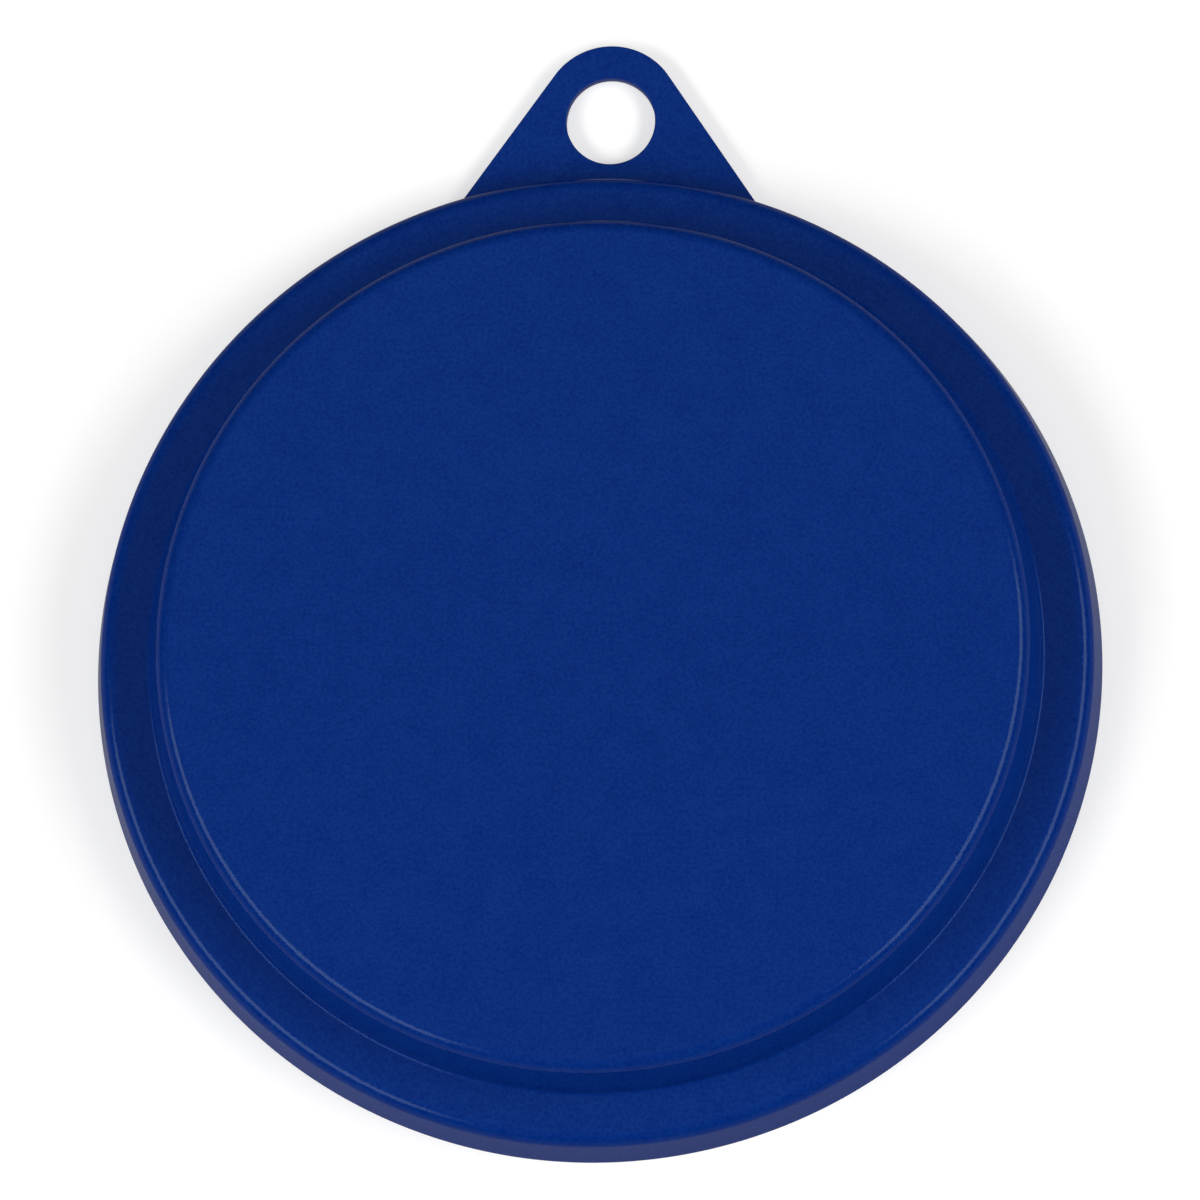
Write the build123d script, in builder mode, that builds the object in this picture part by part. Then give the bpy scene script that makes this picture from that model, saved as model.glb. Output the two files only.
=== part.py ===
import os
from math import cos, radians, sqrt, tan

from build123d import *

# Driving dimensions, in millimetres and degrees. Z = 0 is the plane of the skirt's mouth,
# Z is the lid's axis, and the hang tab points along +Y.

# Skirt and flat rim, which close the larger can
skirt_radius = 45.0
skirt_draft = 8.5
rim_height = 5.2
rim_width = 4.4

# Raised wall and panel, which close the smaller can
step_height = 5.95
step_draft = 10.5
step_foot_radius = 0.4

# Moulded wall, the same all over. Inside each rolled edge the corner has a narrow flat.
wall = 1.1
inside_corner = 0.4
edge_radius = wall + inside_corner

# Snap bead round the inside of each mouth, which catches under a can's rolled seam
skirt_bead_depth = 0.6
step_bead_depth = 1.0
bead_height = 0.8
bead_lead = 0.3
bead_ramp = 0.35

# Hang tab at the foot of the skirt, and its round hole
tab_length = 12.5
tab_thickness = 1.3
tab_end_radius = 6.2
tab_root_half_width = 13.75
hole_radius = 4.0
hole_margin = 3.0


def skirt_outside(height):
    """Radius of the skirt's outer face, which leans in as it rises."""
    return skirt_radius - height * tan(radians(skirt_draft))


def skirt_inside(height):
    """Radius of the skirt's inner face, one wall inside the outer one."""
    return skirt_outside(height) - wall / cos(radians(skirt_draft))


def step_outside(height):
    """Radius of the raised wall's outer face, which starts at the inner edge of the rim."""
    step_radius = skirt_outside(rim_height) - rim_width
    return step_radius - (height - rim_height) * tan(radians(step_draft))


def step_inside(height):
    """Radius of the raised wall's inner face, one wall inside the outer one."""
    return step_outside(height) - wall / cos(radians(step_draft))


def bead(inside, mouth, depth):
    """Corners of a snap bead on a leaning inner face, from the mouth upwards."""
    land = inside(mouth) - depth
    land_top = mouth + bead_height
    root = land_top + bead_ramp
    return [(land, mouth), (land, land_top), (inside(root), root)]


# Corners of the lid's section, as radius and height
panel_height = rim_height + step_height
rim_underside = rim_height - wall
panel_underside = panel_height - wall
skirt_foot = (skirt_radius, 0)
rim_edge = (skirt_outside(rim_height), rim_height)
step_foot = (step_outside(rim_height), rim_height)
panel_edge = (step_outside(panel_height), panel_height)
panel_edge_inside = (step_inside(panel_underside), panel_underside)
rim_edge_inside = (skirt_inside(rim_underside), rim_underside)
step_bead = bead(step_inside, rim_underside, step_bead_depth)
skirt_bead = bead(skirt_inside, 0, skirt_bead_depth)

# Lid: one moulding of even wall. The section below is turned about the axis.
with BuildPart() as lid:
    with BuildSketch(Plane.XZ) as section:
        with BuildLine():
            Polyline(
                skirt_foot,
                rim_edge,
                step_foot,
                panel_edge,
                (0, panel_height),
                (0, panel_underside),
                panel_edge_inside,
                *reversed(step_bead),
                rim_edge_inside,
                *reversed(skirt_bead),
                close=True,
            )
        make_face()

        def corner(point):
            """The corner of the section that lies at the given radius and height."""
            return section.vertices().sort_by_distance(point)[0]

        fillet(corner(rim_edge), edge_radius)
        fillet(corner(step_foot), step_foot_radius)
        fillet(corner(panel_edge), edge_radius)
        chamfer(corner(panel_edge_inside), inside_corner)
        chamfer(corner(rim_edge_inside), inside_corner)
        chamfer(corner(step_bead[0]), bead_lead)
        chamfer(corner(skirt_bead[0]), bead_lead)
    revolve(axis=Axis.Z)

    # Hang tab: a flat tongue whose sides run tangent to its round end. Its root ends halfway
    # into the skirt's wall.
    tab_end = skirt_radius + tab_length
    root_radius = skirt_radius - wall / 2
    root_y = sqrt(root_radius**2 - tab_root_half_width**2)
    with BuildSketch() as tab_outline:
        with BuildLine():
            Line((-tab_root_half_width, root_y), (tab_root_half_width, root_y))
            CenterArc((0, tab_end - tab_end_radius), tab_end_radius, 0, 360)
        make_hull()
        Circle(root_radius, mode=Mode.SUBTRACT)
    extrude(amount=tab_thickness)

    # Hang hole
    with Locations((0, tab_end - hole_margin - hole_radius, tab_thickness)):
        Hole(hole_radius)

lid.part.label = "lid"

os.makedirs("parts", exist_ok=True)
export_step(lid.part, "parts/lid.step")
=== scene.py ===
import math

import bmesh
import bpy
from mathutils import Matrix, Vector


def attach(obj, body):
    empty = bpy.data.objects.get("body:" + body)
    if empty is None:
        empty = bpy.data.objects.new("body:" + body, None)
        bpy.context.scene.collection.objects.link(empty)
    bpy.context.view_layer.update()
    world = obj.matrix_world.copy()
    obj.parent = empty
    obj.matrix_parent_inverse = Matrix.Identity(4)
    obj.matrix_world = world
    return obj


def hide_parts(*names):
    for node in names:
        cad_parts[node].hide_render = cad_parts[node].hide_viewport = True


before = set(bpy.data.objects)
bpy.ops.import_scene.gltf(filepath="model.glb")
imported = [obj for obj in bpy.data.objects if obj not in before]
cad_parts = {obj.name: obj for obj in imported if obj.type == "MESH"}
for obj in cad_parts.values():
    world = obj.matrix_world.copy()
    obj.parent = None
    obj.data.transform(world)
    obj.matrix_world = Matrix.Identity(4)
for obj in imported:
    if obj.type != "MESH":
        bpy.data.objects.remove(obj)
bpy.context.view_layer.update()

# Lid: one injection moulding in soft through-coloured plastic. A section of even wall is turned
# about the axis: a leaning skirt, a flat rim, a raised wall and a flat panel, with rolled edges
# outside and a snap bead round the inside of each mouth.
skirt_radius = 0.045
skirt_draft = math.radians(8.5)
rim_height = 0.0052
rim_width = 0.0044
step_height = 0.00595
step_draft = math.radians(10.5)
step_foot_radius = 0.0004
wall = 0.0011
inside_radius = 0.0004
edge_radius = wall + inside_radius
skirt_bead_depth = 0.0006
step_bead_depth = 0.001
bead_height = 0.0008
bead_lead = 0.0003
bead_ramp = 0.00035
lip_radius = 0.00012
turn_steps = 360
arc_step = math.radians(7)
fewest_arc_steps = 2
merge_distance = 1e-7


def skirt_outside(height):
    """Radius of the skirt's outer face, which leans in as it rises."""
    return skirt_radius - height * math.tan(skirt_draft)


def skirt_inside(height):
    """Radius of the skirt's inner face, one wall inside the outer one."""
    return skirt_outside(height) - wall / math.cos(skirt_draft)


def step_outside(height):
    """Radius of the raised wall's outer face, which starts at the inner edge of the rim."""
    step_radius = skirt_outside(rim_height) - rim_width
    return step_radius - (height - rim_height) * math.tan(step_draft)


def step_inside(height):
    """Radius of the raised wall's inner face, one wall inside the outer one."""
    return step_outside(height) - wall / math.cos(step_draft)


def round_corner(bm, corner, radius):
    """Roll a corner of a flat outline to an arc of the given radius."""
    before, after = (edge.other_vert(corner).co - corner.co for edge in corner.link_edges)
    turn = math.pi - before.angle(after)
    bmesh.ops.bevel(
        bm,
        geom=[corner],
        offset=radius * math.tan(turn / 2),
        offset_type="OFFSET",
        segments=max(fewest_arc_steps, math.ceil(turn / arc_step)),
        profile=0.5,
        affect="VERTICES",
        material=-1,
    )


def put_in_scene(name, data):
    """An object that shows the given mesh, lamp or camera in the scene."""
    item = bpy.data.objects.new(name, data)
    bpy.context.scene.collection.objects.link(item)
    return item


def finish_piece(name, bm):
    """Turn a bmesh into a piece of the scene, and free it."""
    mesh = bpy.data.meshes.new(name)
    bm.to_mesh(mesh)
    bm.free()
    return put_in_scene(name, mesh)


panel_height = rim_height + step_height
rim_underside = rim_height - wall
panel_underside = panel_height - wall
step_land = step_inside(rim_underside) - step_bead_depth
step_land_top = rim_underside + bead_height
skirt_land = skirt_inside(0) - skirt_bead_depth
section = [
    (skirt_radius, 0, lip_radius),
    (skirt_outside(rim_height), rim_height, edge_radius),
    (step_outside(rim_height), rim_height, step_foot_radius),
    (step_outside(panel_height), panel_height, edge_radius),
    (0, panel_height, 0),
    (0, panel_underside, 0),
    (step_inside(panel_underside), panel_underside, inside_radius),
    (step_inside(step_land_top + bead_ramp), step_land_top + bead_ramp, 0),
    (step_land, step_land_top, lip_radius),
    (step_land, rim_underside, bead_lead),
    (skirt_inside(rim_underside), rim_underside, inside_radius),
    (skirt_inside(bead_height + bead_ramp), bead_height + bead_ramp, 0),
    (skirt_land, bead_height, lip_radius),
    (skirt_land, 0, bead_lead),
]
bm = bmesh.new()
corners = [bm.verts.new((radius, 0, height)) for radius, height, _ in section]
outline = bm.faces.new(corners)
for corner, (_, _, round_radius) in zip(corners, section):
    if round_radius > 0:
        round_corner(bm, corner, round_radius)
bmesh.ops.delete(bm, geom=bm.faces[:], context="FACES_ONLY")
on_axis = [edge for edge in bm.edges if all(vert.co.x < merge_distance for vert in edge.verts)]
bmesh.ops.delete(bm, geom=on_axis, context="EDGES")
bmesh.ops.spin(
    bm,
    geom=bm.verts[:] + bm.edges[:],
    cent=(0, 0, 0),
    axis=(0, 0, 1),
    angle=2 * math.pi,
    steps=turn_steps,
    use_merge=True,
)
bmesh.ops.remove_doubles(bm, verts=bm.verts[:], dist=merge_distance)
bmesh.ops.recalc_face_normals(bm, faces=bm.faces[:])
lid = finish_piece("lid_moulding", bm)

# Hang tab: a flat tongue moulded with the skirt's foot, level with its mouth. Its sides run
# tangent to its round end, and a round hole takes a hook. All its edges are slightly soft.
tab_length = 0.0125
tab_thickness = 0.0013
tab_end_radius = 0.0062
tab_root_half_width = 0.01375
tab_edge_radius = 0.00012
tab_edge_steps = 3
tab_arc_steps = 40
hole_radius = 0.004
hole_margin = 0.003
hole_steps = 96
square_turn = math.radians(60)
level_tolerance = 1e-6
sharp_turn = math.radians(40)

tab_end = skirt_radius + tab_length
end_centre = Vector((0, tab_end - tab_end_radius, 0))
root_radius = skirt_radius - wall / 2
root_angle = math.asin(tab_root_half_width / root_radius)
root_corner = Vector((tab_root_half_width, root_radius * math.cos(root_angle), 0))
to_root = root_corner - end_centre
tangent_turn = math.atan2(to_root.y, to_root.x) + math.acos(tab_end_radius / to_root.length)
to_tangent = Vector((math.cos(tangent_turn), math.sin(tangent_turn), 0))
tangent_point = end_centre + tab_end_radius * to_tangent

bm = bmesh.new()
for start, centre, angle in (
    (root_corner, (0, 0, 0), 2 * root_angle),
    (tangent_point, end_centre, math.pi - 2 * tangent_turn),
):
    bmesh.ops.spin(
        bm,
        geom=[bm.verts.new(start)],
        cent=centre,
        axis=(0, 0, 1),
        angle=angle,
        steps=tab_arc_steps,
    )
ends = [vert for vert in bm.verts if len(vert.link_edges) == 1]
for side in (1, -1):
    bm.edges.new([vert for vert in ends if vert.co.x * side > 0])
hole_centre = Vector((0, tab_end - hole_margin - hole_radius, 0))
bmesh.ops.create_circle(
    bm, segments=hole_steps, radius=hole_radius, matrix=Matrix.Translation(hole_centre)
)
bmesh.ops.triangle_fill(bm, use_beauty=True, edges=bm.edges[:])
raised = bmesh.ops.extrude_face_region(bm, geom=bm.faces[:])
bmesh.ops.translate(
    bm,
    verts=[item for item in raised["geom"] if isinstance(item, bmesh.types.BMVert)],
    vec=(0, 0, tab_thickness),
)
bmesh.ops.recalc_face_normals(bm, faces=bm.faces[:])
square_edges = [edge for edge in bm.edges if edge.calc_face_angle() > square_turn]
level_edges = [
    edge
    for edge in square_edges
    if abs(edge.verts[0].co.z - edge.verts[1].co.z) < level_tolerance
]
bmesh.ops.bevel(
    bm,
    geom=level_edges,
    offset=tab_edge_radius,
    offset_type="OFFSET",
    segments=tab_edge_steps,
    profile=0.5,
    affect="EDGES",
    material=-1,
)
tab = finish_piece("hang_tab", bm)

joined = lid.modifiers.new("tab", "BOOLEAN")
joined.operation = "UNION"
joined.solver = "EXACT"
joined.object = tab
evaluated = lid.evaluated_get(bpy.context.evaluated_depsgraph_get())
lid_mesh = bpy.data.meshes.new_from_object(evaluated)
lid.modifiers.clear()
lid.data = lid_mesh
bpy.data.objects.remove(tab)
lid_mesh.shade_smooth()
lid_mesh.set_sharp_from_angle(angle=sharp_turn)
flats = lid.modifiers.new("flats", "WEIGHTED_NORMAL")
flats.keep_sharp = True


# Plastic: the soft deep blue plastic that the lid and its tab are moulded in, coloured all
# through. Its skin has the fine grain of a spark-eroded mould, which mottles the colour a little,
# and a weak bluish sheen.
class Signal:
    """A shader socket. Arithmetic on it adds Math nodes, and add makes any other node."""

    def __init__(self, tree, socket=None):
        self.tree = tree
        self.socket = socket

    def add(self, kind, settings, sockets, output=0):
        """A node of the given kind. Settings are set first, then its sockets' values or links."""
        node = self.tree.nodes.new("ShaderNode" + kind)
        for name, value in settings.items():
            setattr(node, name, value)
        for name, value in sockets.items():
            if isinstance(value, Signal):
                self.tree.links.new(value.socket, node.inputs[name])
            else:
                node.inputs[name].default_value = value
        return Signal(self.tree, node.outputs[output])

    def show(self, owner="Material"):
        """Put this shader on the surface of its material, or on the world."""
        output = self.tree.nodes.new("ShaderNodeOutput" + owner)
        self.tree.links.new(self.socket, output.inputs["Surface"])

    def blend(self, first, second):
        """A colour between two others. The colour sockets of a Mix node are 6, 7 and, out, 2."""
        return self.add("Mix", {"data_type": "RGBA"}, {0: self, 6: first, 7: second}, 2)

    def math(self, operation, first, second):
        """A Math node on two values, of which one at least is a Signal."""
        return self.add("Math", {"operation": operation}, {0: first, 1: second})

    def __add__(self, other):
        return self.math("ADD", self, other)

    def __radd__(self, other):
        return self.math("ADD", other, self)

    def __sub__(self, other):
        return self.math("SUBTRACT", self, other)

    def __rsub__(self, other):
        return self.math("SUBTRACT", other, self)

    def __mul__(self, other):
        return self.math("MULTIPLY", self, other)

    def __rmul__(self, other):
        return self.math("MULTIPLY", other, self)


def new_material(name):
    """An empty material and the start of its shader tree."""
    material = bpy.data.materials.new(name)
    material.use_nodes = True
    material.node_tree.nodes.clear()
    return material, Signal(material.node_tree)


deep_blue = (0.0, 0.014, 0.148, 1)
pale_blue = (0.0036, 0.0305, 0.196, 1)
sheen_blue = (0.6, 0.85, 1, 1)
sheen_index = 1.2
grain_size = 0.0003
grain_detail = 2.0
grain_roughness = 0.6
cloud_size = 0.0025
cloud_detail = 3.0
cloud_roughness = 0.55
noise_mean = 0.5
grain_contrast = 1.7
cloud_contrast = 0.5
pit_depth = 0.00004
pit_strength = 0.35
pit_grain_share = 0.8
pit_cloud_share = 0.2
skin_roughness = 0.16
skin_roughness_spread = 0.12

plastic, shader = new_material("blue_moulded_plastic")
lid_place = shader.add("TexCoord", {}, {}, "Object")
grain = shader.add(
    "TexNoise",
    {},
    {
        "Vector": lid_place,
        "Scale": 1 / grain_size,
        "Detail": grain_detail,
        "Roughness": grain_roughness,
    },
)
cloud = shader.add(
    "TexNoise",
    {},
    {
        "Vector": lid_place,
        "Scale": 1 / cloud_size,
        "Detail": cloud_detail,
        "Roughness": cloud_roughness,
    },
)
pits = shader.add(
    "Bump",
    {},
    {
        "Strength": pit_strength,
        "Distance": pit_depth,
        "Height": grain * pit_grain_share + cloud * pit_cloud_share,
    },
)
grain_swing = grain - noise_mean
cloud_swing = cloud - noise_mean
mottle = noise_mean + grain_contrast * grain_swing + cloud_contrast * cloud_swing
surface = shader.add(
    "BsdfPrincipled",
    {},
    {
        "Base Color": mottle.blend(deep_blue, pale_blue),
        "Roughness": skin_roughness + skin_roughness_spread * grain_swing,
        "IOR": sheen_index,
        "Specular Tint": sheen_blue,
        "Normal": pits,
    },
)
surface.show()
lid_mesh.materials.clear()
lid_mesh.materials.append(plastic)

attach(lid, "root")
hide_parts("lid")

# Floor: the plain white table that the lid lies on. It looks white to the camera, keeps the lid's
# soft shadow, and is a little darker where the plastic mirrors it.
floor_half_width = 2.0
floor_gap = 0.00002
floor_reflectance = 0.65
floor_gloss_dip = 0.35
floor_glow = 0.42
full_white = (1, 1, 1, 1)

bm = bmesh.new()
bmesh.ops.create_grid(bm, x_segments=1, y_segments=1, size=floor_half_width)
floor = finish_piece("floor", bm)
floor.location.z = -floor_gap
table, shader = new_material("white_table")
seen = shader.add("LightPath", {}, {}, "Is Camera Ray")
mirrored = shader.add("LightPath", {}, {}, "Is Glossy Ray")
white = floor_reflectance * (1 - floor_gloss_dip * mirrored)
paint = shader.add("BsdfDiffuse", {}, {"Color": white})
glow = shader.add("Emission", {}, {"Color": full_white, "Strength": seen * floor_glow})
surface = shader.add("AddShader", {}, {0: paint, 1: glow})
surface.show()
floor.data.materials.append(table)

# Studio light: two large softboxes, to the right and to the left of the lid, in a room that is
# lit only overhead. The camera sees the room as white, so that the table has no dark horizon.
softbox_distance = 1.2
softbox_zenith = math.radians(53)
softbox_size = (1.3, 0.42)
softbox_watts = 12.2
softbox_bearings = {"right": math.radians(-8), "left": math.radians(-152)}
room_level = 0.6

for name, bearing in softbox_bearings.items():
    lamp = bpy.data.lights.new("softbox_" + name, "AREA")
    lamp.shape = "RECTANGLE"
    lamp.size, lamp.size_y = softbox_size
    lamp.energy = softbox_watts
    box = put_in_scene("softbox_" + name, lamp)
    turn = Matrix.Rotation(bearing + math.pi / 2, 4, "Z")
    lean = Matrix.Rotation(softbox_zenith, 4, "X")
    box.matrix_world = turn @ lean @ Matrix.Translation((0, 0, softbox_distance))

world = bpy.data.worlds.new("room")
bpy.context.scene.world = world
world.use_nodes = True
world.node_tree.nodes.clear()
shader = Signal(world.node_tree)
direction = shader.add("TexCoord", {}, {}, "Generated")
upward = shader.add("SeparateXYZ", {}, {"Vector": direction}, "Z")
overhead = upward * upward
seen = shader.add("LightPath", {}, {}, "Is Camera Ray")
level = seen + (1 - seen) * (room_level * overhead * overhead)
surface = shader.add("Background", {}, {"Color": full_white, "Strength": level})
surface.show("World")

# Camera: above the lid and a little to the front, at a product photographer's distance. Its
# tilt, bearing, roll and scale, and the pixel where the middle of the lid's mouth falls, were
# fitted to the lid's edges in the photograph.
view_distance = 1.5
view_tilt = math.radians(14.1)
view_bearing = math.radians(16.0)
view_roll = math.radians(1.27)
pixels_per_metre = 11187.0
frame_pixels = 1200
origin_x, origin_y = 599.4, 670.0
sensor_width = 36.0
near_clip = 0.01

towards = Vector((
    math.sin(view_tilt) * math.sin(view_bearing),
    -math.sin(view_tilt) * math.cos(view_bearing),
    math.cos(view_tilt),
))
level_up = (Vector((0, 1, 0)) - towards * towards.y).normalized()
level_right = level_up.cross(towards)
right = level_right * math.cos(view_roll) + level_up * math.sin(view_roll)
up = level_up * math.cos(view_roll) - level_right * math.sin(view_roll)
middle = frame_pixels / 2
across = (origin_x - middle) / pixels_per_metre
down = (origin_y - middle) / pixels_per_metre
camera_place = towards * view_distance - right * across + up * down
camera_turn = Matrix((right, up, towards)).transposed().to_4x4()
lens = bpy.data.cameras.new("camera")
lens.sensor_width = sensor_width
lens.lens = sensor_width * pixels_per_metre * view_distance / frame_pixels
lens.clip_start = near_clip
camera = put_in_scene("camera", lens)
camera.matrix_world = Matrix.Translation(camera_place) @ camera_turn
bpy.context.scene.camera = camera
bpy.context.scene.view_settings.view_transform = "Standard"
